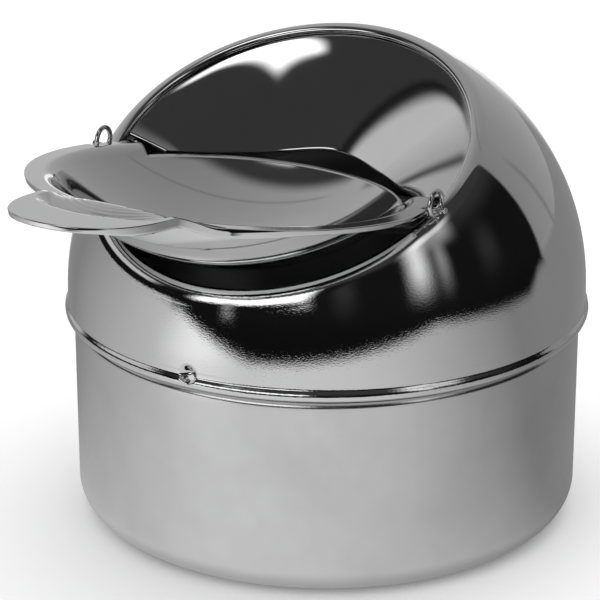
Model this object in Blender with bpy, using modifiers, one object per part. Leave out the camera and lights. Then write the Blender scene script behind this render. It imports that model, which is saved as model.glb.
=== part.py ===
"""Table ball ashtray: drawn cup, lift-off ball top with a tilted mouth, fixed rear baffle and a
tilting ash dish that hangs on two split-pin eyes. Metres, +Z up, origin at the centre of the cup's
flat underside. The mouth and the dish's tongue face -Y, and the tilt axis runs along X."""

import bmesh
import bpy
from math import atan2, cos, hypot, pi, radians, sin, sqrt
from mathutils import Matrix, Vector

MM = 0.001
SEG = 64                                  # facets round a turned piece

# cup
CUP_R = 55.0 * MM                         # wall, at the shoulder
CUP_DRAFT = 0.36 * MM                     # the wall is this much narrower at the bottom
CUP_CORNER = 7.5 * MM
CUP_WALL = 0.7 * MM
SHOULDER_Z = 43.2 * MM
NECK_R = 53.0 * MM
NECK_TOP = 51.5 * MM
NECK_BEAD = 0.6 * MM

# ball top
BALL_R = 56.35 * MM
BALL_Z = 51.1 * MM
BALL_WALL = 0.7 * MM
HEM_R = 57.0 * MM
HEM_Z = 45.2 * MM                         # underside of the hem, just above the cup's shoulder
SNAP_Z = 48.4 * MM
SNAP_COUNT = 3

# tilted mouth, in a frame whose Z leaves the mouth
MOUTH_TILT = radians(26.8)
MOUTH_Y = -17.1 * MM
MOUTH_Z = 84.92 * MM
MOUTH_R = 40.4 * MM                       # crest of the rolled lip
LIP_IN = 39.3 * MM                        # inside of the lip's turned-in flange
LIP_DEPTH = 1.3 * MM

# fixed rear baffle, a shallow funnel under the lip
BAFFLE_R = 40.2 * MM
BAFFLE_WALL = 0.6 * MM
BAFFLE_TOP = -1.6 * MM                    # its rim, below the lip's crest
BAFFLE_SLOPE = 0.44
BAFFLE_REACH = 28.3 * MM                  # how far behind the tilt axis its lower edge starts

# tilt axis
AXIS_Y = -25.5 * MM
AXIS_Z = 82.4 * MM
EYE_X = 40.65 * MM
EYE_UP = 1.3 * MM                         # the eye's centre above the pin's
EYE_R = 2.55 * MM                         # to the middle of the wire
EYE_WIRE = 0.52 * MM
PIN_R = 0.4 * MM

# ash dish, in a frame on the tilt axis, X along the axis and Z up out of the brim
DISH_TILT = radians(7.85)
DISH_T = 14.5 * MM                        # the bowl's centre ahead of the axis
DISH_R = 42.25 * MM                       # outside of the brim
BOWL_R = 37.6 * MM
BOWL_DEPTH = 16.5 * MM
BRIM_N = 0.9 * MM                         # top of the brim above the axis
DISH_WALL = 0.6 * MM
DISH_BACK_R = 35.7 * MM                   # raw back edge of the bowl
BACK_ANGLE = radians(119.0)               # the brim ends here, measured from the front
FLANGE = 1.2 * MM                         # turned-down edge
TONGUE_TIP = 68.4 * MM                    # from the bowl's centre
TONGUE_HALF = 15.9 * MM
TONGUE_ROOT = 45.0 * MM
TONGUE_RISE = 2.6 * MM                    # above the brim
FLARE_T = 35.8 * MM                       # where the tongue's flare leaves the round brim
FLARE_X = 22.4 * MM
FOLD_T = 35.5 * MM                        # centre of the fold round the tongue's root
FOLD_IN = 9.0 * MM                        # the brim starts to slope down here
FOLD_MID = 17.5 * MM                      # bottom of the valley
FOLD_OUT = 21.0 * MM                      # top of the tongue's step
FOLD_DROP = 3.6 * MM


def wipe():
    for obj in list(bpy.data.objects):
        bpy.data.objects.remove(obj, do_unlink=True)
    for coll in list(bpy.data.collections):
        bpy.data.collections.remove(coll)


def collection(name):
    coll = bpy.data.collections.new(name)
    bpy.context.scene.collection.children.link(coll)
    return coll


def material(name, color, roughness, metallic=1.0):
    mat = bpy.data.materials.new(name)
    mat.use_nodes = True
    bsdf = mat.node_tree.nodes["Principled BSDF"]
    bsdf.inputs["Base Color"].default_value = (*color, 1.0)
    bsdf.inputs["Roughness"].default_value = roughness
    bsdf.inputs["Metallic"].default_value = metallic
    mat.diffuse_color = (*color, 1.0)
    return mat


def place(obj, coll, parent=None, mat=None):
    coll.objects.link(obj)
    obj.parent = parent
    if mat:
        obj.data.materials.append(mat)
    return obj


def empty(name, coll, loc, rot_x):
    obj = bpy.data.objects.new(name, None)
    obj.location = loc
    obj.rotation_euler = (rot_x, 0.0, 0.0)
    obj.empty_display_size = 0.01
    coll.objects.link(obj)
    return obj


def smooth(obj, angle=radians(35)):
    obj.data.shade_smooth()
    obj.data.set_sharp_from_angle(angle=angle)


def turned(name, coll, points, parent=None, mat=None, seg=SEG):
    """Profile of (radius, height) points spun round local Z; it runs down its outer side."""
    mesh = bpy.data.meshes.new(name)
    closed = points[0][0] > 1e-7
    edges = [(i, i + 1) for i in range(len(points) - 1)]
    if closed:
        edges.append((len(points) - 1, 0))
    mesh.from_pydata([(r, 0.0, z) for r, z in points], edges, [])
    obj = bpy.data.objects.new(name, mesh)
    place(obj, coll, parent, mat)
    screw = obj.modifiers.new("Screw", "SCREW")
    screw.axis = "Z"
    screw.steps = seg
    screw.render_steps = seg
    screw.use_merge_vertices = True
    screw.merge_threshold = 0.000001
    screw.use_smooth_shade = True
    return obj


def arc(cr, cz, rad, a0, a1, n):
    """Points on a circle from angle a0 to a1 (degrees, 0 outward, 90 up)."""
    step = (a1 - a0) / n
    return [(cr + rad * cos(radians(a0 + step * i)), cz + rad * sin(radians(a0 + step * i)))
            for i in range(n + 1)]


def hide_cutter(obj):
    obj.hide_render = True
    obj.display_type = "WIRE"
    return obj


def boolean(obj, other, operation):
    mod = obj.modifiers.new(operation.title() + " " + other.name, "BOOLEAN")
    mod.operation = operation
    mod.solver = "EXACT"
    mod.object = other
    return mod


def from_bmesh(name, bm, coll, parent=None, mat=None):
    mesh = bpy.data.meshes.new(name)
    bm.normal_update()
    bm.to_mesh(mesh)
    bm.free()
    obj = bpy.data.objects.new(name, mesh)
    return place(obj, coll, parent, mat)


def build_cup(coll, mat):
    foot_r = CUP_R - CUP_DRAFT - CUP_CORNER
    w = CUP_WALL
    neck = [(NECK_R, NECK_TOP), (NECK_R + NECK_BEAD, NECK_TOP - 0.5 * MM),
            (NECK_R + NECK_BEAD, NECK_TOP - 1.2 * MM), (NECK_R, NECK_TOP - 1.8 * MM),
            (NECK_R, SHOULDER_Z + 1.55 * MM)]
    shoulder = arc(CUP_R - 1.5 * MM, SHOULDER_Z, 1.5 * MM, 80, 0, 4)
    corner = arc(foot_r, CUP_CORNER, CUP_CORNER, 0, -90, 6)
    inner = arc(foot_r, CUP_CORNER, CUP_CORNER - w, -90, 0, 5)
    inner_top = [(CUP_R - w, SHOULDER_Z - 0.3 * MM), (NECK_R - w, SHOULDER_Z + 1.2 * MM),
                 (NECK_R - w, NECK_TOP)]
    down = neck + shoulder + corner + [(0.0, 0.0)]
    profile = [(0.0, w)] + inner + inner_top + down
    cup = turned("base_cup", coll, profile, mat=mat)
    return cup


def ball_profile():
    w = BALL_WALL
    n = 16
    outer = [(BALL_R * sin(pi / 2 * i / n), BALL_Z + BALL_R * cos(pi / 2 * i / n)) for i in range(n + 1)]
    inner_r = BALL_R - w
    inner = [(inner_r * sin(pi / 2 * i / n), BALL_Z + inner_r * cos(pi / 2 * i / n))
             for i in range(n, -1, -1)]
    hem_z = HEM_Z + 1.35 * MM
    hem = arc(HEM_R - 1.35 * MM, hem_z, 1.35 * MM, 50, -90, 5)
    curl = [(54.2 * MM, HEM_Z), (54.2 * MM, HEM_Z + w), (HEM_R - 1.7 * MM, HEM_Z + w),
            (HEM_R - 1.75 * MM, hem_z + 0.6 * MM)]
    return outer + [(BALL_R - 0.05 * MM, hem_z + 1.6 * MM)] + hem + curl + inner


def lip_profile():
    """Section of the rolled lip in the mouth's frame; it lies over the ball's cut edge."""
    w = BALL_WALL
    depth = MOUTH_Y ** 2 + (MOUTH_Z - BALL_Z) ** 2

    def on_ball(r, inset):
        return sqrt((BALL_R - inset) ** 2 - r * r) - sqrt(depth)
    root_r = 44.0 * MM
    root = [(root_r, on_ball(root_r, 0.3 * MM)), (root_r, on_ball(root_r, 0.45 * MM))]
    under = [(42.9 * MM, on_ball(42.9 * MM, w + 0.05 * MM)), (41.7 * MM, -1.05 * MM),
             (MOUTH_R, -0.75 * MM), (LIP_IN + w, -1.0 * MM), (LIP_IN + w, -LIP_DEPTH)]
    top = [(LIP_IN, -LIP_DEPTH), (LIP_IN, -0.9 * MM), (LIP_IN + 0.3 * MM, -0.35 * MM),
           (MOUTH_R, -0.1 * MM), (41.5 * MM, -0.3 * MM), (42.4 * MM, -0.85 * MM),
           (42.95 * MM, on_ball(42.95 * MM, 0.12 * MM)), (43.3 * MM, on_ball(43.3 * MM, 0.25 * MM))]
    return top + root + under


def build_ball(coll, cutters, mouth, mat):
    ball = turned("dome_shell", coll, ball_profile(), mat=mat)
    opening = turned("mouth_cutter", cutters,
                     [(0.0, 30 * MM), (43.05 * MM, 30 * MM), (43.05 * MM, -9 * MM), (0.0, -9 * MM)],
                     parent=mouth)
    boolean(ball, hide_cutter(opening), "DIFFERENCE")
    lip = turned("lip_ring", cutters, lip_profile(), parent=mouth)
    boolean(ball, hide_cutter(lip), "UNION")
    for i in range(SNAP_COUNT):
        turn = Matrix.Rotation(2 * pi * i / SNAP_COUNT, 4, "Z")
        tip_r = 54.35 * MM
        for label, r1, r2, x0, x1, operation in (
                ("bump", 2.1 * MM, 1.3 * MM, BALL_R - 0.45 * MM, tip_r, "UNION"),
                ("dent", 2.0 * MM, 0.7 * MM, BALL_R + 0.5 * MM, tip_r + 0.6 * MM, "DIFFERENCE")):
            bm = bmesh.new()
            bmesh.ops.create_cone(bm, cap_ends=True, segments=10, radius1=r1, radius2=r2,
                                  depth=x0 - x1)
            lay = Matrix.Rotation(radians(90), 4, "X")
            move = Matrix.Translation((0.0, -(x0 + x1) / 2, SNAP_Z))
            bmesh.ops.transform(bm, matrix=turn @ move @ lay.inverted(), verts=bm.verts)
            cone = from_bmesh("snap_%s_%d" % (label, i + 1), bm, cutters)
            boolean(ball, hide_cutter(cone), operation)
    for side, sx in (("left", -1), ("right", 1)):
        bm = bmesh.new()
        bmesh.ops.create_cube(bm, size=1.0)
        size = Matrix.Diagonal((1.7 * MM, 3.1 * MM, 5.0 * MM, 1.0))
        spot = Matrix.Translation((sx * EYE_X, -leg_forward(), -1.0 * MM))
        bmesh.ops.transform(bm, matrix=spot @ size, verts=bm.verts)
        slot = from_bmesh("eye_slot_" + side, bm, cutters, parent=mouth)
        boolean(ball, hide_cutter(slot), "DIFFERENCE")
    normals = ball.modifiers.new("Normals", "WEIGHTED_NORMAL")
    normals.weight = 90
    return ball


def axis_in_mouth():
    """The tilt axis in the mouth's frame: (forward, out of the mouth)."""
    dy, dz = AXIS_Y - MOUTH_Y, AXIS_Z - MOUTH_Z
    forward = -dy * cos(MOUTH_TILT) - dz * sin(MOUTH_TILT)
    out = -dy * sin(MOUTH_TILT) + dz * cos(MOUTH_TILT)
    return forward, out


def leg_forward():
    """Where the eyes' legs pass the lip, in the mouth's frame."""
    return axis_in_mouth()[0] - 0.5 * MM


def build_baffle(coll, cutters, mouth, mat):
    w = BAFFLE_WALL
    rows = 9
    inner_r = 11.0 * MM

    def height(r):
        s = (BAFFLE_R - r) / MM
        return BAFFLE_TOP - (BAFFLE_SLOPE * s + 0.0125 * max(0.0, s - 14.0) ** 2) * MM
    top = [(inner_r + (BAFFLE_R - inner_r) * i / rows,
            height(inner_r + (BAFFLE_R - inner_r) * i / rows)) for i in range(rows + 1)]
    bottom = [(r, z - w * 1.12) for r, z in reversed(top)]
    baffle = turned("rear_baffle", coll, top + bottom, parent=mouth, mat=mat)

    # The front is cut away along a rounded V in plan, with a slanting step beside each eye.
    plan = []
    bend = 15.2 * MM
    half = 34.0 * MM
    steps = 14
    for i in range(-steps, steps + 1):
        x = half * i / steps
        back = BAFFLE_REACH + bend - sqrt(bend ** 2 + 0.9 * x * x)
        plan.append((x, AXIS_Y + back))
    edge_y = plan[-1][1]
    plan += [(60 * MM, edge_y + 1.5 * MM), (60 * MM, -80 * MM), (-60 * MM, -80 * MM),
             (-60 * MM, edge_y + 1.5 * MM)]
    bm = bmesh.new()
    verts = [bm.verts.new((x, y, 40 * MM)) for x, y in plan]
    base = bm.faces.new(verts)
    grown = bmesh.ops.extrude_face_region(bm, geom=[base])
    top_verts = [v for v in grown["geom"] if isinstance(v, bmesh.types.BMVert)]
    bmesh.ops.translate(bm, vec=(0.0, 0.0, 80 * MM), verts=top_verts)
    bmesh.ops.recalc_face_normals(bm, faces=bm.faces)
    front = hide_cutter(from_bmesh("baffle_front_cutter", bm, cutters))
    boolean(baffle, front, "DIFFERENCE")
    return baffle


def build_eye(name, coll, sx, mat):
    """Split-pin eye: one wire, bent into a ring over the lip with its legs spread inside."""
    up = Vector((0.0, -sin(MOUTH_TILT), cos(MOUTH_TILT)))
    ahead = Vector((0.0, -cos(MOUTH_TILT), -sin(MOUTH_TILT)))
    centre = Vector((sx * EYE_X, AXIS_Y, AXIS_Z + EYE_UP))
    mouth = Vector((0.0, MOUTH_Y, MOUTH_Z))
    foot = mouth + ahead * leg_forward() + Vector((sx * EYE_X, 0.0, 0.0))
    gap = 0.63 * MM
    spread = 2.6 * MM
    left = [foot + ahead * (gap + spread) - up * 3.1 * MM, foot + ahead * (gap + 0.3 * MM) - up * 2.3 * MM,
            foot + ahead * gap - up * 1.4 * MM, foot + ahead * gap + up * 0.1 * MM]
    right = [foot - ahead * gap + up * 0.1 * MM, foot - ahead * gap - up * 1.4 * MM,
             foot - ahead * (gap + 0.3 * MM) - up * 2.3 * MM,
             foot - ahead * (gap + spread) - up * 3.1 * MM]
    down = (foot - centre).normalized()
    start = atan2(down.z, down.y)
    opening = radians(30)
    turns = 18
    ring = []
    for i in range(turns + 1):
        a = start - opening - (2 * pi - 2 * opening) * i / turns
        ring.append(centre + Vector((0.0, cos(a), sin(a))) * EYE_R)
    if (ring[0] - left[-1]).length > (ring[-1] - left[-1]).length:
        ring.reverse()
    points = left + ring + right
    curve = bpy.data.curves.new(name, "CURVE")
    curve.dimensions = "3D"
    curve.bevel_depth = EYE_WIRE
    curve.bevel_resolution = 1
    curve.use_fill_caps = True
    spline = curve.splines.new("POLY")
    spline.points.add(len(points) - 1)
    origin = Vector((sx * EYE_X, AXIS_Y, AXIS_Z))
    for point, co in zip(spline.points, points):
        point.co = (*(co - origin), 1.0)
    obj = bpy.data.objects.new(name, curve)
    obj.location = origin
    place(obj, coll, mat=mat)
    return obj


def tongue_half(t):
    """Half width of the tongue at a distance t ahead of the bowl's centre."""
    if t < TONGUE_ROOT:
        f = (TONGUE_ROOT - t) / (TONGUE_ROOT - FLARE_T)
        return TONGUE_HALF + (FLARE_X - TONGUE_HALF) * max(0.0, f) ** 1.6
    s = (t - TONGUE_ROOT + 4 * MM) / (TONGUE_TIP - TONGUE_ROOT + 4 * MM)
    return TONGUE_HALF * max(0.0, 1 - s ** 3.2) ** 0.4545


def dish_reach(phi):
    """Outer edge of the dish sheet from the bowl's centre; phi is measured from the front."""
    a = abs(phi)
    if a < radians(34):
        lo, hi = DISH_R, TONGUE_TIP
        for _ in range(40):
            mid = (lo + hi) / 2
            x, t = mid * sin(a), mid * cos(a)
            if t > FLARE_T and x < tongue_half(t):
                lo = mid
            else:
                hi = mid
        return lo
    t = DISH_T + DISH_R * cos(a)
    if abs(t) < 5.2 * MM:
        limit = 39.7 * MM if t > -1.2 * MM else 37.9 * MM
        return min(DISH_R, limit / sin(a))
    return DISH_R


def dish_height(x, t):
    """Top of the dish sheet above the tilt axis, for the brim and the tongue."""
    ahead = t - DISH_T
    if ahead < FLARE_T or hypot(x, ahead) < BOWL_R:
        return BRIM_N
    s = min(1.0, (ahead - FLARE_T) / (TONGUE_ROOT + 1 * MM - FLARE_T))
    level = BRIM_N + TONGUE_RISE * s * s * (3 - 2 * s)
    fold = hypot(x, ahead - FOLD_T)
    fade = max(0.0, 1 - (x / (14.5 * MM)) ** 2)
    if FOLD_IN < fold < FOLD_MID:
        s = (fold - FOLD_IN) / (FOLD_MID - FOLD_IN)
        level -= FOLD_DROP * fade * s * s
    elif FOLD_MID <= fold < FOLD_OUT:
        level -= FOLD_DROP * fade * (FOLD_OUT - fold) / (FOLD_OUT - FOLD_MID)
    return level


def dish_stations(phi, reach):
    """Distances from the bowl's centre where one spoke of the brim has its points."""
    inner, outer = BOWL_R + 0.3 * MM, reach - 0.5 * MM
    stations = [inner]
    folds = (FOLD_IN, (FOLD_IN + FOLD_MID) / 2, FOLD_MID, (FOLD_MID + FOLD_OUT) / 2, FOLD_OUT)
    for k, fold in enumerate(folds):
        even = inner + (outer - inner) * (k + 1) / (len(folds) + 1)
        r = even
        if abs(phi) < radians(20):
            off = fold ** 2 - (FOLD_T * sin(phi)) ** 2
            r = FOLD_T * cos(phi) + sqrt(off) if off > 0 else inner
        low = stations[-1] + 0.25 * MM
        high = outer - 0.25 * MM * (len(folds) - k)
        stations.append(min(max(r, low), high))
    return stations + [outer]


def build_dish(coll, axis, mat):
    rho = (BOWL_R ** 2 + BOWL_DEPTH ** 2) / (2 * BOWL_DEPTH)
    half = [0.0, 3.0, 6.0, 9.0, 12.0, 14.5, 17.0, 19.0, 21.5, 24.5, 28.0, 32.0, 36.0, 42.0]
    half += [48.0 + 6.0 * k for k in range(10)] + [106.0, 110.9, 111.3, 112.2, 115.5, 119.0, 119.2]
    half += [124.0 + 7.0 * k for k in range(8)]
    angles = [-a for a in reversed(half) if a > 0] + half + [180.0]
    bowl = [0.0, 8 * MM, 15 * MM, 21 * MM, 26 * MM, 30.5 * MM, 33.5 * MM, DISH_BACK_R]
    bm = bmesh.new()
    centre = None
    rings = []
    for a in angles:
        phi = radians(a)
        reach = dish_reach(phi)
        line = []
        for r in bowl:
            n = BRIM_N - BOWL_DEPTH + rho - sqrt(rho * rho - r * r)
            if r == 0.0:
                centre = centre or bm.verts.new((0.0, -DISH_T, n))
                line.append(centre)
                continue
            line.append(bm.verts.new((r * sin(phi), -(DISH_T + r * cos(phi)), n)))
        if abs(a) < 119.1:
            for r in dish_stations(phi, reach):
                x, t = r * sin(phi), DISH_T + r * cos(phi)
                line.append(bm.verts.new((x, -t, dish_height(x, t))))
            x, t = reach * sin(phi), DISH_T + reach * cos(phi)
            n = dish_height(x, t)
            drop = FLANGE if abs(t) > 6 * MM else 1.35 * MM
            line.append(bm.verts.new((x, -t, n - 0.5 * MM)))
            line.append(bm.verts.new((x, -t, n - drop)))
        rings.append(line)
    for i, line in enumerate(rings):
        nxt = rings[(i + 1) % len(rings)]
        for k in range(min(len(line), len(nxt)) - 1):
            if k == 0:
                bm.faces.new((line[0], line[1], nxt[1]))
            else:
                bm.faces.new((line[k], line[k + 1], nxt[k + 1], nxt[k]))
    bmesh.ops.recalc_face_normals(bm, faces=bm.faces)
    dish = from_bmesh("ash_dish", bm, coll, parent=axis, mat=mat)
    if dish.data.polygons[0].normal.z < 0:
        dish.data.flip_normals()
    shell = dish.modifiers.new("Solidify", "SOLIDIFY")
    shell.thickness = DISH_WALL
    shell.offset = -1.0
    shell.use_even_offset = True
    smooth(dish)
    return dish


def build_pin(name, coll, axis, sx, mat):
    """Short pin from the dish's ear out through the eye, with a flattened head."""
    x0, x1 = 38.2 * MM, 43.2 * MM
    profile = [(0.0, x1), (0.65 * MM, x1), (0.65 * MM, x1 - 0.6 * MM), (PIN_R, x1 - 0.6 * MM),
               (PIN_R, x0 + 2.0 * MM), (0.0, x0 + 2.0 * MM)]
    pin = turned(name, coll, profile, parent=axis, mat=mat, seg=12)
    pin.rotation_euler = (0.0, radians(90) * sx, 0.0)
    return pin


def main():
    wipe()
    parts = collection("ball_ashtray")
    cutters = collection("cutters")
    chrome = material("chrome_polished", (0.62, 0.62, 0.63), 0.06)
    satin = material("chrome_satin", (0.60, 0.60, 0.61), 0.22)
    dish_mat = material("chrome_dish", (0.60, 0.60, 0.61), 0.12)
    baffle_mat = material("chrome_baffle", (0.58, 0.58, 0.59), 0.08)
    wire_mat = material("wire_steel", (0.50, 0.50, 0.50), 0.25)
    pin_mat = material("pin_steel", (0.52, 0.52, 0.52), 0.25)
    mouth = empty("mouth_frame", parts, (0.0, MOUTH_Y, MOUTH_Z), MOUTH_TILT)
    axis = empty("tilt_axis", parts, (0.0, AXIS_Y, AXIS_Z), -DISH_TILT)
    build_cup(parts, satin)
    build_ball(parts, cutters, mouth, chrome)
    build_baffle(parts, cutters, mouth, baffle_mat)
    build_eye("hinge_eye_left", parts, -1, wire_mat)
    build_eye("hinge_eye_right", parts, 1, wire_mat)
    build_dish(parts, axis, dish_mat)
    build_pin("hinge_pin_left", parts, axis, -1, pin_mat)
    build_pin("hinge_pin_right", parts, axis, 1, pin_mat)


main()
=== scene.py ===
from math import atan2, cos, exp, hypot, pi, radians, sin, sqrt

import bmesh
import bpy
from mathutils import Matrix, Vector

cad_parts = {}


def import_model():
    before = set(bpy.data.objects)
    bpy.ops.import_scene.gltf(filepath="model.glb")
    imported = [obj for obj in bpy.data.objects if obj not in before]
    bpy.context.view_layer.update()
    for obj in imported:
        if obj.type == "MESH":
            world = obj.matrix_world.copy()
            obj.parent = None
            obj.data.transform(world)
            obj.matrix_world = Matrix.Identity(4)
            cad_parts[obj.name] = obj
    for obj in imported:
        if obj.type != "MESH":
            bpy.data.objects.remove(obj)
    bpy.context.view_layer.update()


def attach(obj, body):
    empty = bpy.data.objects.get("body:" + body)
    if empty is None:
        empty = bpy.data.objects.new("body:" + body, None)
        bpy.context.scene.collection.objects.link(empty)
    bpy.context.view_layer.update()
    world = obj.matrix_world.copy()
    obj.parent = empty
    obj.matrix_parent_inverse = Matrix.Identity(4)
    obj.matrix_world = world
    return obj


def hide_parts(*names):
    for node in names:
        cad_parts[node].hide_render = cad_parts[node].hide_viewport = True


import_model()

MM = 0.001

# ------------------------------------------------------------------ dimensions
# named as in the CAD part; the snaps' size, the baffle's slope, curve and roll (in millimetres in
# from the lip) and the ridges in the tongue's fold are only here
CUP_R, CUP_DRAFT, CUP_CORNER, CUP_WALL = 55.0 * MM, 0.36 * MM, 7.5 * MM, 0.7 * MM
SHOULDER_Z, NECK_R, NECK_TOP, NECK_BEAD = 43.2 * MM, 53.0 * MM, 51.5 * MM, 0.6 * MM
BALL_R, BALL_Z, BALL_WALL = 56.35 * MM, 51.1 * MM, 0.7 * MM
HEM_R, HEM_Z = 57.0 * MM, 45.2 * MM
SNAP_Z, SNAP_R, SNAP_DEPTH = 48.4 * MM, 2.2 * MM, 1.35 * MM
MOUTH_TILT, MOUTH_Y, MOUTH_Z = radians(26.8), -17.1 * MM, 84.92 * MM
MOUTH_R, LIP_IN, LIP_DEPTH = 40.4 * MM, 39.3 * MM, 1.3 * MM
BAFFLE_R, BAFFLE_WALL, BAFFLE_TOP = 40.2 * MM, 0.6 * MM, -1.6 * MM
BAFFLE_SLOPE, BAFFLE_CURVE = 0.39, 0.0049
ROLL_LIFT, ROLL_LENGTH = 0.6, 1.6
BAFFLE_REACH, BAFFLE_BEND = 28.3 * MM, 15.2 * MM
AXIS_Y, AXIS_Z = -25.5 * MM, 82.4 * MM
EYE_X, EYE_UP, EYE_R, EYE_WIRE, PIN_R = 40.65 * MM, 1.3 * MM, 2.55 * MM, 0.52 * MM, 0.4 * MM
DISH_TILT, DISH_T, DISH_R = radians(7.85), 14.5 * MM, 42.25 * MM
BOWL_R, BOWL_DEPTH, BRIM_N, DISH_WALL = 37.6 * MM, 16.5 * MM, 0.9 * MM, 0.6 * MM
DISH_BACK_R, FLANGE = 35.7 * MM, 1.2 * MM
TONGUE_TIP, TONGUE_HALF, TONGUE_ROOT, TONGUE_RISE = 68.4 * MM, 15.9 * MM, 45.0 * MM, 2.6 * MM
FLARE_T, FLARE_X = 35.8 * MM, 22.4 * MM
FOLD_T, FOLD_IN, FOLD_MID, FOLD_OUT, FOLD_DROP = 35.5 * MM, 9.0 * MM, 17.5 * MM, 21.0 * MM, 3.6 * MM
RIDGE, RIDGE_PITCH = 0.08 * MM, 1.15 * MM

# frames of the mouth and of the dish's tilt axis
MOUTH = Matrix.Translation((0, MOUTH_Y, MOUTH_Z)) @ Matrix.Rotation(MOUTH_TILT, 4, "X")
AXIS = Matrix.Translation((0, AXIS_Y, AXIS_Z)) @ Matrix.Rotation(-DISH_TILT, 4, "X")
BALL_TO_MOUTH = sqrt(MOUTH_Y ** 2 + (MOUTH_Z - BALL_Z) ** 2)

coll = bpy.context.scene.collection


# ------------------------------------------------------------------ mesh helpers
def mesh_object(name, verts, faces):
    mesh = bpy.data.meshes.new(name)
    mesh.from_pydata([tuple(v) for v in verts], [], faces)
    mesh.validate()
    obj = bpy.data.objects.new(name, mesh)
    coll.objects.link(obj)
    mesh.shade_smooth()
    return obj


def loft(rings, closed=True, flip=False):
    """Quads between rings of equal length."""
    verts = [p for ring in rings for p in ring]
    n = len(rings[0])
    faces = []
    for j in range(len(rings) - 1):
        for i in range(n if closed else n - 1):
            k = (i + 1) % n
            quad = (j * n + i, j * n + k, (j + 1) * n + k, (j + 1) * n + i)
            faces.append(quad[::-1] if flip else quad)
    return verts, faces


def arc(cr, cz, rad, a0, a1, n):
    """(r, z) points of an arc of n steps, angles in degrees."""
    step = (a1 - a0) / n
    return [(cr + rad * cos(radians(a0 + step * i)), cz + rad * sin(radians(a0 + step * i)))
            for i in range(n + 1)]


def smooth_curve(points, step):
    """Catmull-Rom through (r, z) points, resampled about every step."""
    pts = [Vector((p[0], p[1], 0)) for p in points]
    out = []
    for i in range(len(pts) - 1):
        p0, p1, p2, p3 = pts[max(i - 1, 0)], pts[i], pts[i + 1], pts[min(i + 2, len(pts) - 1)]
        n = max(1, int((p2 - p1).length / step))
        for k in range(n):
            t = k / n
            out.append(0.5 * ((2 * p1) + (p2 - p0) * t + (2 * p0 - 5 * p1 + 4 * p2 - p3) * t * t
                              + (3 * p1 - p0 - 3 * p2 + p3) * t ** 3))
    out.append(pts[-1])
    return [(p.x, p.y) for p in out]


def solidify(obj, thickness):
    """Gives an open sheet its wall, inward from its outer face."""
    mod = obj.modifiers.new("Solidify", "SOLIDIFY")
    mod.thickness = thickness
    mod.offset = -1.0
    mod.use_even_offset = True
    mod.use_quality_normals = True


def apply_modifiers(obj):
    dg = bpy.context.evaluated_depsgraph_get()
    mesh = bpy.data.meshes.new_from_object(obj.evaluated_get(dg))
    obj.modifiers.clear()
    obj.data = mesh
    return obj


def smoothstep(a, b, x):
    """0 to 1, smoothly, as x goes from a to b (which may be below a)."""
    s = min(1.0, max(0.0, (x - a) / (b - a)))
    return s * s * (3 - 2 * s)


# ------------------------------------------------------------------ cup
def build_cup():
    """One closed revolved profile, from the neck's lip down the outside and up the inside."""
    foot_r = CUP_R - CUP_DRAFT - CUP_CORNER
    w = CUP_WALL
    neck = [(NECK_R - 0.1 * MM, NECK_TOP)]
    neck += arc(NECK_R, NECK_TOP - 0.85 * MM, NECK_BEAD - 0.02 * MM, 75, -75, 8)
    neck += [(NECK_R, NECK_TOP - 1.9 * MM), (NECK_R, NECK_TOP - 4 * MM)]
    neck += [(NECK_R, SHOULDER_Z + 2.1 * MM)]
    fillet = arc(NECK_R + 0.45 * MM, SHOULDER_Z + 1.95 * MM, 0.45 * MM, 180, 262, 5)
    shoulder = arc(CUP_R - 1.5 * MM, SHOULDER_Z, 1.5 * MM, 84, 0, 14)
    wall = [(CUP_R - CUP_DRAFT * f, SHOULDER_Z + (CUP_CORNER - SHOULDER_Z) * f)
            for f in [k / 30 for k in range(1, 30)]]
    corner = arc(foot_r, CUP_CORNER, CUP_CORNER, 0, -90, 26)
    across = (0.94, 0.8, 0.6, 0.4, 0.2, 0.04)
    floor_out = [(foot_r * f, 0.0) for f in across]
    inner = [(foot_r * f, w) for f in reversed(across)]
    inner += arc(foot_r, CUP_CORNER, CUP_CORNER - w, -90, 0, 20)
    inner += [(CUP_R - w - 0.1 * MM, 20 * MM), (CUP_R - w, SHOULDER_Z - 0.6 * MM)]
    inner += arc(CUP_R - w - 1.0 * MM, SHOULDER_Z - 0.3 * MM, 1.0 * MM, 0, 80, 6)
    inner += [(NECK_R - w, SHOULDER_Z + 1.3 * MM), (NECK_R - w, NECK_TOP - 0.3 * MM)]
    outer = neck + fillet + shoulder + wall + corner + floor_out
    profile = outer + inner
    n = 256
    rings = [[(r * cos(2 * pi * i / n), r * sin(2 * pi * i / n), z) for i in range(n)]
             for r, z in profile]
    verts, faces = loft(rings, flip=True)
    # the lip of the neck joins the last ring to the first
    last = (len(profile) - 1) * n
    faces += [(last + i, last + (i + 1) % n, (i + 1) % n, i) for i in range(n)]
    # the floor's two innermost rings each close to a centre, in place of the quads between them
    under = (len(outer) - 1) * n
    above = under + n
    faces = [f for f in faces if not (under <= min(f) < above <= max(f) < above + n)]
    out_c, in_c = len(verts), len(verts) + 1
    verts += [(0, 0, 0), (0, 0, w)]
    faces += [(under + (i + 1) % n, under + i, out_c) for i in range(n)]
    faces += [(above + i, above + (i + 1) % n, in_c) for i in range(n)]
    cup = mesh_object("cup", verts, faces)
    fix_normals(cup)
    return cup


def fix_normals(obj):
    """Turns a closed mesh's faces outward."""
    bm = bmesh.new()
    bm.from_mesh(obj.data)
    bmesh.ops.recalc_face_normals(bm, faces=bm.faces)
    bm.to_mesh(obj.data)
    bm.free()


# ------------------------------------------------------------------ ball top
def on_ball(r):
    """Height of the ball's surface out of the mouth at a radius from the mouth's centre."""
    return sqrt(BALL_R ** 2 - r * r) - BALL_TO_MOUTH


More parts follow.
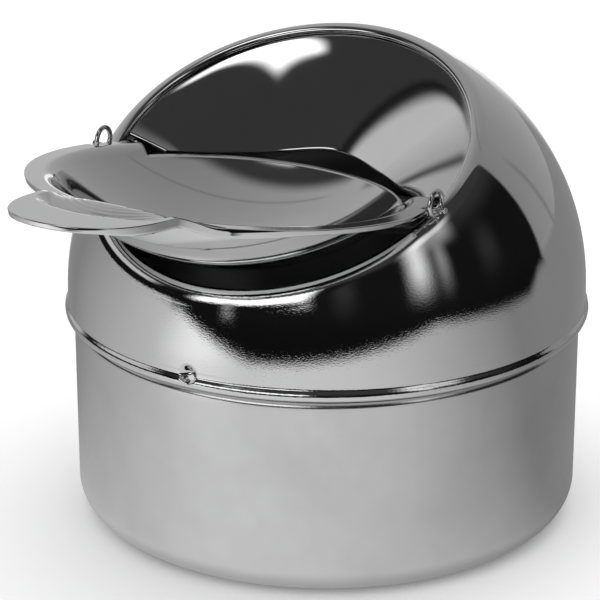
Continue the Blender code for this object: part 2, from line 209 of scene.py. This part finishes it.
def lip_section():
    """(radius, out) of the lip's visible skin in the mouth's frame, from the flange's edge out."""
    skin = [(LIP_IN + 0.02 * MM, -LIP_DEPTH), (LIP_IN, -0.95 * MM),
            (LIP_IN + 0.12 * MM, -0.55 * MM), (LIP_IN + 0.45 * MM, -0.22 * MM),
            (MOUTH_R, -0.1 * MM), (41.1 * MM, -0.19 * MM),
            (41.8 * MM, -0.48 * MM), (42.45 * MM, -0.94 * MM)]
    skin += [(r, on_ball(r)) for r in (43.1 * MM, 43.7 * MM)]
    return smooth_curve(skin, 0.12 * MM)


def columns():
    """Azimuths of the columns of the ball, closer together at the snap dimples; 0 is the front."""
    base = [2 * pi * k / 300 for k in range(300)]
    for d in range(3):
        c = 2 * pi * d / 3
        base = [a for a in base if abs((a - c + pi) % (2 * pi) - pi) > radians(3.3)]
        base += [(c + radians(-3.15 + 0.21 * k)) % (2 * pi) for k in range(31)]
    return sorted(base)


def build_ball():
    """The lip in the mouth's frame, great arcs from it to the equator, then the skirt and hem."""
    cols = columns()
    rings = [[MOUTH @ Vector((r * sin(a), -r * cos(a), u)) for a in cols] for r, u in lip_section()]
    top = rings[-1]
    centre = Vector((0, 0, BALL_Z))
    steps = 56
    for k in range(1, steps + 1):
        f = k / steps
        ring = []
        for a, p in zip(cols, top):
            v0 = (p - centre).normalized()
            v1 = Vector((sin(a), -cos(a), 0))
            ang = v0.angle(v1)
            v = (v0 * sin((1 - f) * ang) + v1 * sin(f * ang)) / sin(ang)
            ring.append(centre + v.normalized() * BALL_R)
        rings.append(ring)
    hem = 1.35 * MM
    hem_z = HEM_Z + hem
    skirt = [(BALL_R, BALL_Z - 0.25 * MM * k) for k in range(1, 9)]
    skirt += [(BALL_R - 0.02 * MM, (48.9 - 0.2 * k) * MM) for k in range(5)]
    roll = [(BALL_R + 0.02 * MM, hem_z + 1.32 * MM)]
    roll += arc(HEM_R - hem, hem_z, hem, 42, -90, 16)
    roll += [(54.9 * MM, HEM_Z), (54.3 * MM, HEM_Z + 0.05 * MM)]
    for r, z in skirt + smooth_curve(roll, 0.15 * MM):
        ring = []
        for a in cols:
            rr = r
            for d in range(3):
                off = abs((a - 2 * pi * d / 3 + pi) % (2 * pi) - pi) * BALL_R
                dist = hypot(off, z - SNAP_Z)
                if dist < SNAP_R:
                    rr -= SNAP_DEPTH * (0.5 + 0.5 * cos(pi * dist / SNAP_R)) ** 0.8
            ring.append(Vector((rr * sin(a), -rr * cos(a), z)))
        rings.append(ring)
    verts, faces = loft(rings)
    ball = mesh_object("ball_top", verts, faces)
    normals_out(ball, Vector((0, 0, 60 * MM)))
    solidify(ball, BALL_WALL)
    return apply_modifiers(ball)


def normals_out(obj, inside):
    """Turns an open shell's faces away from a point inside it."""
    big = max(obj.data.polygons, key=lambda p: p.area)
    if (big.center - inside).dot(big.normal) < 0:
        obj.data.flip_normals()


# ------------------------------------------------------------------ rear baffle
def baffle_height(r, phi):
    """Out of the mouth; phi is 0 at the back. The top rolls over softly towards the lip."""
    s = (BAFFLE_R - r) / MM
    lift = ROLL_LIFT * smoothstep(88.0, 55.0, abs(phi) * 180 / pi)
    roll = lift * (1 - exp(-s / ROLL_LENGTH))
    return BAFFLE_TOP - (BAFFLE_SLOPE * s + BAFFLE_CURVE * s * s - roll) * MM


def plan_edge(x):
    """World Y of the baffle's front edge in plan, a curve with straighter ends beside the eyes."""
    half = 34.0 * MM
    bow = sqrt(BAFFLE_BEND ** 2 + 0.9 * min(abs(x), half) ** 2)
    y = AXIS_Y + BAFFLE_REACH + BAFFLE_BEND - bow
    if abs(x) > half:
        y += 1.5 * MM * (abs(x) - half) / (26 * MM)
    return y


def halve(lo, hi, keeps):
    """Where a test that holds at lo stops holding on the way to hi."""
    for _ in range(40):
        mid = (lo + hi) / 2
        if keeps(mid):
            lo = mid
        else:
            hi = mid
    return lo


def build_baffle():
    """Columns by azimuth in the mouth's frame, from the front edge out to the lip."""
    def world(phi, r):
        return MOUTH @ Vector((r * sin(phi), r * cos(phi), baffle_height(r, phi)))

    def inside(phi, r):
        p = world(phi, r)
        return p.y > plan_edge(p.x)

    limit = halve(radians(60), radians(140), lambda phi: inside(phi, BAFFLE_R))
    cols, rows = 220, 60
    rings = []
    for j in range(cols + 1):
        phi = -limit + 2 * limit * j / cols
        low = BAFFLE_R
        if inside(phi, BAFFLE_R - 0.01 * MM):
            low = halve(BAFFLE_R, 2 * MM, lambda r: inside(phi, r))
        low = min(low, BAFFLE_R - 0.05 * MM)
        rings.append([world(phi, low + (BAFFLE_R - low) * sin(pi / 2 * k / rows))
                      for k in range(rows + 1)])
    verts, faces = loft(rings, closed=False)
    baffle = mesh_object("baffle", verts, faces)
    middle = baffle.data.polygons[len(baffle.data.polygons) // 2]
    if middle.normal.z < 0:
        baffle.data.flip_normals()
    solidify(baffle, BAFFLE_WALL)
    return apply_modifiers(baffle)


# ------------------------------------------------------------------ ash dish
def tongue_half(t):
    """Half width of the tongue, t ahead of the bowl's centre."""
    if t < TONGUE_ROOT:
        f = (TONGUE_ROOT - t) / (TONGUE_ROOT - FLARE_T)
        return TONGUE_HALF + (FLARE_X - TONGUE_HALF) * max(0.0, f) ** 1.6
    s = (t - TONGUE_ROOT + 4 * MM) / (TONGUE_TIP - TONGUE_ROOT + 4 * MM)
    return TONGUE_HALF * max(0.0, 1 - s ** 3.2) ** 0.4545


def dish_reach(phi):
    """Radius of the dish's outline; phi is 0 at the tongue. It is nipped in beside the eyes."""
    def on_tongue(r):
        x, t = r * sin(a), r * cos(a)
        return t > FLARE_T and x < tongue_half(t)

    a = abs(phi)
    if a < radians(34):
        return halve(DISH_R, TONGUE_TIP, on_tongue)
    t = DISH_T + DISH_R * cos(a)
    if abs(t) < 5.2 * MM:
        limit = 39.7 * MM if t > -1.2 * MM else 37.9 * MM
        return min(DISH_R, limit / sin(a))
    return DISH_R


def dish_height(x, t):
    """Top of the sheet outside the bowl; t is measured from the tilt axis."""
    ahead = t - DISH_T
    if ahead < FLARE_T:
        return BRIM_N
    level = BRIM_N + TONGUE_RISE * smoothstep(FLARE_T, TONGUE_ROOT + 1 * MM, ahead)
    fold = hypot(x, ahead - FOLD_T)
    fade = max(0.0, 1 - (x / (14.5 * MM)) ** 2)
    if FOLD_IN < fold < FOLD_MID:
        s = (fold - FOLD_IN) / (FOLD_MID - FOLD_IN)
        level -= FOLD_DROP * fade * s * s
    elif FOLD_MID <= fold < FOLD_OUT:
        s = (FOLD_OUT - fold) / (FOLD_OUT - FOLD_MID)
        level -= FOLD_DROP * fade * s
    if FOLD_IN < fold < FOLD_OUT:
        ridge = smoothstep(FOLD_IN, 13 * MM, fold) * smoothstep(FOLD_OUT, FOLD_MID, fold) * fade
        level += RIDGE * ridge * cos(2 * pi * fold / RIDGE_PITCH)
    return level


# radius of the sphere that the bowl is part of
RHO = (BOWL_R ** 2 + BOWL_DEPTH ** 2) / (2 * BOWL_DEPTH)


def bowl_height(r):
    return BRIM_N - BOWL_DEPTH + RHO - sqrt(RHO * RHO - r * r)


def blend_height(r, x, t):
    """Bowl, a small round at its rim, then the brim or tongue."""
    width = 1.6 * MM
    lo, hi = BOWL_R - width, BOWL_R + width
    if r <= lo:
        return bowl_height(r)
    out = dish_height(x, t)
    if r >= hi:
        return out
    s = (r - lo) / (hi - lo)
    slope = lo / sqrt(RHO * RHO - lo * lo)
    h00, h10 = 2 * s ** 3 - 3 * s ** 2 + 1, s ** 3 - 2 * s ** 2 + s
    h01 = -2 * s ** 3 + 3 * s ** 2
    return h00 * bowl_height(lo) + h10 * slope * (hi - lo) + h01 * out


def build_dish():
    """Spokes from the bowl's centre; at the back they stop at the raw edge."""
    corner = 119.0
    angles = []
    a = 0.0
    while a < corner:
        angles.append(a)
        a += 0.5 if a < 36 or 101 < a < 113 else 1.0
    angles.append(corner)
    front = [-v for v in reversed(angles[1:])] + angles
    back = [corner + k for k in range(1, 122)]
    inner_rows, rows = 60, 170
    edge, lean = 0.22 * MM, 0.32 * MM
    verts, faces = [], []
    index = {}

    def vert(key, p):
        if key not in index:
            index[key] = len(verts)
            verts.append(AXIS @ Vector(p))
        return index[key]

    def spoke(deg, full):
        phi = radians(deg)
        reach = dish_reach(phi if deg <= 180 else phi - 2 * pi)
        line = []
        for k in range(inner_rows + 1):
            r = DISH_BACK_R * k / inner_rows
            key = "c" if k == 0 else (round(deg % 360, 3), k)
            line.append(vert(key, (r * sin(phi), -(DISH_T + r * cos(phi)), bowl_height(r))))
        if full:
            out_rows = rows - inner_rows
            for k in range(1, out_rows + 1):
                r = DISH_BACK_R + (reach - edge - DISH_BACK_R) * k / out_rows
                x, t = r * sin(phi), DISH_T + r * cos(phi)
                line.append(vert((deg, inner_rows + k), (x, -t, blend_height(r, x, t))))
            x1, t1 = (reach - edge) * sin(phi), DISH_T + (reach - edge) * cos(phi)
            n1 = blend_height(reach - edge, x1, t1)
            # the turned-down edge is deeper beside the eyes, and to the right of the tongue's root
            drop = 1.35 * MM if abs(t1) < 6 * MM else FLANGE
            if deg < 60:
                drop += 0.9 * MM * smoothstep(56.0, 30.0, deg) * smoothstep(8.0, 16.0, deg)
            for k in range(1, 7):
                q = pi / 2 * k / 6
                r = reach - edge + edge * sin(q)
                x, t = r * sin(phi), DISH_T + r * cos(phi)
                line.append(vert((deg, rows + k), (x, -t, n1 - edge * (1 - cos(q)))))
            for k in range(1, 4):
                r = reach - lean * k / 3
                x, t = r * sin(phi), DISH_T + r * cos(phi)
                line.append(vert((deg, rows + 6 + k), (x, -t, n1 - edge - (drop - edge) * k / 3)))
        return line

    lines = [spoke(d, True) for d in front]
    tail = [spoke(d, False) for d in back]

    def strip(l0, l1):
        m = min(len(l0), len(l1))
        faces.append((l0[0], l0[1], l1[1]))
        for k in range(1, m - 1):
            faces.append((l0[k], l0[k + 1], l1[k + 1], l1[k]))

    for i in range(len(lines) - 1):
        strip(lines[i], lines[i + 1])
    ring = [lines[-1]] + tail + [lines[0]]
    for i in range(len(ring) - 1):
        strip(ring[i], ring[i + 1])
    dish = mesh_object("dish", verts, faces)
    up = AXIS.to_3x3() @ Vector((0, 0, 1))
    if dish.data.polygons[0].normal.dot(up) < 0:
        dish.data.flip_normals()
    solidify(dish, DISH_WALL)
    return apply_modifiers(dish)


# ------------------------------------------------------------------ eyes and pins
def axis_in_mouth():
    """How far the tilt axis is ahead of the mouth's centre, in the mouth's plane."""
    dy, dz = AXIS_Y - MOUTH_Y, AXIS_Z - MOUTH_Z
    return -dy * cos(MOUTH_TILT) - dz * sin(MOUTH_TILT)


def build_eye(name, sx):
    """A split-pin wire; sx is -1 at the left and 1 at the right."""
    up = Vector((0.0, -sin(MOUTH_TILT), cos(MOUTH_TILT)))
    ahead = Vector((0.0, -cos(MOUTH_TILT), -sin(MOUTH_TILT)))
    centre = Vector((sx * EYE_X, AXIS_Y, AXIS_Z + EYE_UP))
    foot = (Vector((0.0, MOUTH_Y, MOUTH_Z)) + ahead * (axis_in_mouth() - 0.5 * MM)
            + Vector((sx * EYE_X, 0.0, 0.0)))
    gap = 0.60 * MM

    def leg(s):
        return [foot + ahead * s * (gap + 2.6 * MM) - up * 3.05 * MM,
                foot + ahead * s * (gap + 1.3 * MM) - up * 2.75 * MM,
                foot + ahead * s * (gap + 0.3 * MM) - up * 2.2 * MM,
                foot + ahead * s * gap - up * 1.3 * MM,
                foot + ahead * s * gap]

    down = (foot - centre).normalized()
    start = atan2(down.z, down.y)
    opening = radians(27)
    turns = 30
    ring = []
    for i in range(turns + 1):
        a = start - opening - (2 * pi - 2 * opening) * i / turns
        ring.append(centre + Vector((0.0, cos(a), sin(a))) * EYE_R)
    left, right = leg(1), leg(-1)
    if (ring[0] - left[-1]).length > (ring[-1] - left[-1]).length:
        ring.reverse()
    points = left + ring + right[::-1]
    curve = bpy.data.curves.new(name, "CURVE")
    curve.dimensions = "3D"
    curve.bevel_depth = EYE_WIRE
    curve.bevel_resolution = 8
    curve.use_fill_caps = True
    curve.resolution_u = 4
    spline = curve.splines.new("NURBS")
    spline.order_u = 3
    spline.use_endpoint_u = True
    spline.points.add(len(points) - 1)
    for point, co in zip(spline.points, points):
        point.co = (*co, 1.0)
    obj = bpy.data.objects.new(name, curve)
    coll.objects.link(obj)
    return obj


def build_pin(name, sx):
    x0, x1 = 40.2 * MM, 43.2 * MM
    head, tall, corner, hub = 0.65 * MM, 0.6 * MM, 0.2 * MM, 0.02 * MM
    profile = [(hub, x1)] + arc(head - corner, x1 - corner, corner, 90, 0, 5)
    profile += [(head, x1 - 0.55 * MM), (head - 0.08 * MM, x1 - tall), (PIN_R, x1 - tall),
                (PIN_R, x0), (hub, x0)]
    n = 40
    rings = [[AXIS @ Vector((sx * z, r * cos(2 * pi * i / n), r * sin(2 * pi * i / n)))
              for i in range(n)] for r, z in profile]
    verts, faces = loft(rings)
    last = (len(profile) - 1) * n
    faces += [tuple(range(n))[::-1], tuple(last + i for i in range(n))]
    pin = mesh_object(name, verts, faces)
    fix_normals(pin)
    pin.data.set_sharp_from_angle(angle=radians(40))
    return pin


# ------------------------------------------------------------------ materials
def metal(name, color, roughness, rough_var=0.03, grain=0.0, grain_scale=900.0, wave=0.0,
          smudge=0.06, grain_stretch=(1, 1, 1), grain_fade=None):
    """Plated sheet; wave and grain are heights in metres, and grain fades between two heights."""
    mat = bpy.data.materials.new(name)
    mat.use_nodes = True
    nt = mat.node_tree
    bsdf = nt.nodes["Principled BSDF"]
    bsdf.inputs["Metallic"].default_value = 1.0
    place = nt.nodes.new("ShaderNodeTexCoord").outputs["Object"]

    def noise(scale, detail, where):
        node = nt.nodes.new("ShaderNodeTexNoise")
        node.inputs["Scale"].default_value = scale
        node.inputs["Detail"].default_value = detail
        nt.links.new(where, node.inputs["Vector"])
        return node.outputs["Fac"]

    def bump(height, distance):
        node = nt.nodes.new("ShaderNodeBump")
        node.inputs["Strength"].default_value = 1.0
        node.inputs["Distance"].default_value = distance
        nt.links.new(height, node.inputs["Height"])
        return node

    # cloudy variation of the plate's colour
    ramp = nt.nodes.new("ShaderNodeValToRGB")
    dark = tuple(c * (1 - smudge) for c in color)
    ramp.color_ramp.elements[0].position = 0.3
    ramp.color_ramp.elements[0].color = (*dark, 1)
    ramp.color_ramp.elements[1].position = 0.7
    ramp.color_ramp.elements[1].color = (*color, 1)
    nt.links.new(noise(45.0, 4.0, place), ramp.inputs["Fac"])
    nt.links.new(ramp.outputs["Color"], bsdf.inputs["Base Color"])
    # roughness varies with fine handling marks
    span = nt.nodes.new("ShaderNodeMapRange")
    span.inputs["To Min"].default_value = max(0.0, roughness - rough_var)
    span.inputs["To Max"].default_value = roughness + rough_var
    nt.links.new(noise(320.0, 6.0, place), span.inputs["Value"])
    nt.links.new(span.outputs["Result"], bsdf.inputs["Roughness"])
    # long soft waviness of pressed sheet, and the fine polishing grain
    waves = bump(noise(60.0, 1.0, place), wave)
    stretch = nt.nodes.new("ShaderNodeMapping")
    stretch.inputs["Scale"].default_value = grain_stretch
    nt.links.new(place, stretch.inputs["Vector"])
    grains = bump(noise(grain_scale, 2.0, stretch.outputs["Vector"]), grain)
    if grain_fade:
        faint, full = grain_fade
        split = nt.nodes.new("ShaderNodeSeparateXYZ")
        nt.links.new(place, split.inputs[0])
        fade = nt.nodes.new("ShaderNodeMapRange")
        fade.interpolation_type = "SMOOTHSTEP"
        fade.inputs["From Min"].default_value = full
        fade.inputs["From Max"].default_value = faint
        fade.inputs["To Min"].default_value = 1.0
        fade.inputs["To Max"].default_value = 0.12
        nt.links.new(split.outputs["Z"], fade.inputs["Value"])
        nt.links.new(fade.outputs["Result"], grains.inputs["Strength"])
    nt.links.new(waves.outputs["Normal"], grains.inputs["Normal"])
    nt.links.new(grains.outputs["Normal"], bsdf.inputs["Normal"])
    return mat


CHROME, SHEET = (0.66, 0.66, 0.665), (0.64, 0.64, 0.645)
ball_metal = metal("ball_chrome", CHROME, 0.05, rough_var=0.02, grain=1.5e-5, grain_scale=1900.0,
                   wave=5e-6, grain_stretch=(1, 1, 2.2), grain_fade=(0.078, 0.056))
cup_metal = metal("cup_satin_chrome", CHROME, 0.22, rough_var=0.06, grain=1.6e-5, grain_scale=700.0,
                  wave=8e-6, grain_stretch=(1, 1, 0.06), smudge=0.13)
dish_metal = metal("dish_chrome", SHEET, 0.07, rough_var=0.02, grain=0.8e-6, wave=3e-6)
baffle_metal = metal("baffle_chrome", SHEET, 0.05, rough_var=0.02, grain=0.6e-6, wave=2e-6)
wire_metal = metal("wire_steel", (0.6, 0.6, 0.6), 0.12)
pin_metal = metal("pin_steel", (0.55, 0.55, 0.55), 0.2)

# ------------------------------------------------------------------ the object
PIECES = [
    (build_cup(), "cup", "base_cup", "base_cup", cup_metal),
    (build_ball(), "top", "dome_shell", "dome_shell", ball_metal),
    (build_baffle(), "top", "rear_baffle", "rear_baffle", baffle_metal),
    (build_eye("eye_left", -1), "top", "hinge_eye_left", "hinge_wire", wire_metal),
    (build_eye("eye_right", 1), "top", "hinge_eye_right", "hinge_wire", wire_metal),
    (build_dish(), "dish", "ash_dish", "ash_dish", dish_metal),
    (build_pin("pin_left", -1), "dish", "hinge_pin_left", "hinge_pin", pin_metal),
    (build_pin("pin_right", 1), "dish", "hinge_pin_right", "hinge_pin", pin_metal),
]
for piece, body, node, slot, mat in PIECES:
    piece.data.materials.clear()
    piece.data.materials.append(mat)
    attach(piece, body)
    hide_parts(node)


# ------------------------------------------------------------------ camera
def aim(obj, target):
    obj.rotation_euler = (Vector(target) - obj.location).to_track_quat("-Z", "Y").to_euler()


cam = bpy.data.cameras.new("camera")
cam.lens = 219.6
cam.sensor_width = 36.0
cam.clip_start = 0.01
camera = bpy.data.objects.new("camera", cam)
coll.objects.link(camera)
camera.location = (0.3779, -0.6441, 0.3313)
aim(camera, (-0.0050, -0.0030, 0.0463))
bpy.context.scene.camera = camera


# ------------------------------------------------------------------ studio
class Nodes:
    """Small arithmetic on shader sockets; numbers and sockets mix freely."""

    def __init__(self, tree):
        self.tree = tree

    def put(self, socket, value):
        if isinstance(value, (int, float)):
            socket.default_value = value
        else:
            self.tree.links.new(value, socket)

    def math(self, op, *args):
        node = self.tree.nodes.new("ShaderNodeMath")
        node.operation = op
        for socket, value in zip(node.inputs, args):
            self.put(socket, value)
        return node.outputs[0]

    def add(self, a, b):
        return self.math("ADD", a, b)

    def mul(self, a, b):
        return self.math("MULTIPLY", a, b)

    def ramp(self, value, lo, hi):
        """0 to 1, smoothly, as the value goes from lo to hi (which may be below lo)."""
        node = self.tree.nodes.new("ShaderNodeMapRange")
        node.interpolation_type = "SMOOTHSTEP"
        flip = hi < lo
        self.put(node.inputs["Value"], value)
        node.inputs["From Min"].default_value = hi if flip else lo
        node.inputs["From Max"].default_value = lo if flip else hi
        node.inputs["To Min"].default_value = 1.0 if flip else 0.0
        node.inputs["To Max"].default_value = 0.0 if flip else 1.0
        return node.outputs["Result"]

    def band(self, value, lo, hi, soft):
        """1 between lo and hi, with edges soft to each side."""
        rise, fall = self.ramp(value, lo - soft, lo + soft), self.ramp(value, hi + soft, hi - soft)
        return self.mul(rise, fall)

    def dot(self, sockets, weights):
        terms = [self.mul(s, weight) for s, weight in zip(sockets, weights)]
        total = terms[0]
        for term in terms[1:]:
            total = self.add(total, term)
        return total

    def over(self, base, level, mask):
        """base, covered by level where the mask is 1."""
        node = self.tree.nodes.new("ShaderNodeMix")
        self.put(node.inputs[0], mask)
        self.put(node.inputs[2], base)
        self.put(node.inputs[3], level)
        return node.outputs[0]


bpy.context.scene.view_settings.view_transform = "Standard"
world = bpy.data.worlds.new("studio")
bpy.context.scene.world = world
world.use_nodes = True
wt = world.node_tree
w = Nodes(wt)
split = wt.nodes.new("ShaderNodeSeparateXYZ")
wt.links.new(wt.nodes.new("ShaderNodeTexCoord").outputs["Generated"], split.inputs[0])
way = dx, dy, dz = tuple(split.outputs)
DEG = pi / 180
elev = w.mul(w.math("ARCSINE", dz), 1 / DEG)
azim = w.mul(w.math("ARCTAN2", dx, w.mul(dy, -1.0)), 1 / DEG)


def patch(base, level, across, up):
    """A soft patch of light; across (azimuth, 0 at the front) and up are (lo, hi, soft)."""
    return w.over(base, level, w.mul(w.band(azim, *across), w.band(elev, *up)))


# a dark studio in front of the object
room = w.over(0.007, 0.046, w.ramp(elev, 24.0, 36.0))
# light panel low on the left, with a slanting upper edge and a dark strip along it
slant = w.add(elev, w.mul(w.add(azim, 45.0), 0.22))
panel = w.mul(w.band(azim, -126.0, -52.0, 5.0), w.ramp(elev, 14.0, 20.0))
panel = w.mul(panel, w.ramp(slant, 31.5, 26.0))
room = w.over(room, 0.72, panel)
room = w.over(room, 0.008, w.mul(w.band(azim, -88.0, -40.0, 6.0), w.band(slant, 31.5, 34.0, 2.0)))
# soft box over the front left, and a wide low one in front
over_x, over_y = w.math("DIVIDE", dx, dz), w.math("DIVIDE", dy, dz)
box = w.mul(w.band(over_x, -0.37, -0.08, 0.05), w.band(over_y, -0.56, -0.10, 0.05))
box = w.mul(box, w.ramp(elev, 20.0, 30.0))
room = w.over(room, 2.2, box)
room = patch(room, 1.6, (-31.0, 22.0, 4.0), (9.5, 31.0, 2.0))
room = patch(room, 0.35, (-15.0, -11.0, 2.5), (-2.0, 12.0, 3.0))
# tall soft boxes at the right, and two dim lamps
room = patch(room, 0.9, (66.0, 95.0, 6.0), (29.0, 44.0, 6.0))
room = patch(room, 1.3, (70.0, 77.0, 6.0), (12.0, 46.0, 9.0))
room = patch(room, 0.35, (83.0, 88.0, 3.5), (12.0, 30.0, 9.0))
room = patch(room, 0.05, (35.0, 41.0, 6.0), (8.0, 22.0, 8.0))
room = patch(room, 0.05, (108.0, 114.0, 7.0), (10.0, 22.0, 8.0))
# pale sweep behind the object, up to overhead, with its paper edge
right = w.dot(way, (-0.682, 0.562, 0.086))
left = w.add(dy, -0.08)
sweep = w.mul(w.ramp(right, 0.0, 0.022), w.ramp(left, -0.02, 0.13))
pale = w.add(w.add(0.44, w.mul(dx, -0.16)), w.mul(dz, -0.10))
room = w.over(room, pale, sweep)
room = patch(room, 0.5, (-156.0, -126.0, 6.0), (20.0, 46.0, 6.0))
room = patch(room, 0.60, (-158.0, -124.0, 6.0), (-20.0, 16.0, 6.0))
room = patch(room, 0.09, (-110.0, -106.0, 2.5), (18.0, 34.0, 3.0))
leaning = w.add(azim, w.mul(elev, 0.28))
fold = w.mul(w.band(leaning, 157.5, 159.0, 1.6), w.band(elev, -4.0, 22.0, 4.0))
room = w.over(room, 0.22, fold)
edge = w.dot(way, (-0.295, 0.933, 0.215))
room = w.over(room, 0.16, w.mul(w.band(edge, 0.574, 0.582, 0.006), w.ramp(elev, 44.0, 50.0)))

# the metal sees the room, and everything else is lit by plain white
path = wt.nodes.new("ShaderNodeLightPath")
shown = w.over(1.22, room, path.outputs["Is Glossy Ray"])
background = wt.nodes["Background"]
background.inputs["Color"].default_value = (1, 1, 1, 1)
wt.links.new(shown, background.inputs["Strength"])


def plane(name, size, z):
    """A square piece of the stage."""
    mesh = bpy.data.meshes.new(name)
    mesh.from_pydata([(-size, -size, z), (size, -size, z), (size, size, z), (-size, size, z)], [],
                     [(0, 1, 2, 3)])
    obj = bpy.data.objects.new(name, mesh)
    coll.objects.link(obj)
    return obj


# what the camera sees below the object
floor = plane("floor", 6.0, -0.0002)
floor.visible_glossy = False
floor_mat = bpy.data.materials.new("floor_white")
floor_mat.use_nodes = True
paper = floor_mat.node_tree.nodes["Principled BSDF"]
paper.inputs["Base Color"].default_value = (0.98, 0.98, 0.98, 1)
paper.inputs["Roughness"].default_value = 0.9
floor.data.materials.append(floor_mat)

# what the metal sees of the table: a glowing sheet with painted light and shade, as paper lit from
# the front left, ending near on the right
table = plane("table", 6.0, -0.0004)
table.visible_camera = False
table.visible_diffuse = False
table.visible_shadow = False
table.visible_transmission = False
table_mat = bpy.data.materials.new("table_painted_light")
table_mat.use_nodes = True
tt = table_mat.node_tree
t = Nodes(tt)
tt.nodes.remove(tt.nodes["Principled BSDF"])
painted_glow = tt.nodes.new("ShaderNodeEmission")
place = tt.nodes.new("ShaderNodeSeparateXYZ")
tt.links.new(tt.nodes.new("ShaderNodeTexCoord").outputs["Object"], place.inputs[0])
spot = px, py = tuple(place.outputs)[:2]
dist = t.math("SQRT", t.add(t.mul(px, px), t.mul(py, py)))
front = t.math("DIVIDE", t.dot(spot, (0.1, -0.995)), dist)
# painted light and shade: brighter towards the front, darker towards the sides and back
level = t.add(0.41, t.mul(t.math("MAXIMUM", front, -0.27), 0.44))
# painted contact shadow: darker close round the cup's foot, within about 60 mm of the centre
level = t.mul(level, t.add(0.55, t.mul(t.ramp(dist, 0.048, 0.060), 0.45)))
az_t = t.mul(t.math("ARCTAN2", px, t.mul(py, -1.0)), 1 / DEG)
# painted pools of light on the table, far out at the front left and at the back left
painted_light_wedge = t.mul(t.band(az_t, -31.0, -9.0, 12.0), t.ramp(dist, 0.12, 0.22))
level = t.over(level, 1.25, painted_light_wedge)
level = t.over(level, 1.15, t.mul(t.band(az_t, -165.0, -124.0, 8.0), t.ramp(dist, 0.10, 0.16)))
near_edge = t.ramp(py, -0.235, -0.205)
diagonal = t.ramp(t.add(t.mul(px, -0.77), t.mul(t.add(py, 0.235), 0.635)), -0.015, 0.03)
far_edge = t.ramp(t.dot(spot, (0.69, 0.72)), 0.56, 0.46)
behind = t.ramp(t.dot(spot, (-0.772, 0.636)), 0.0, 0.02)
ahead = t.mul(near_edge, far_edge)
beside = t.mul(diagonal, t.ramp(dist, 2.4, 0.7))
sheet = t.math("MAXIMUM", t.math("MAXIMUM", ahead, beside), behind)
# painted light: the table glows with this computed level, dark outside its edges
tt.links.new(t.over(0.006, level, sheet), painted_glow.inputs["Strength"])
tt.links.new(painted_glow.outputs["Emission"], tt.nodes["Material Output"].inputs["Surface"])
table.data.materials.append(table_mat)
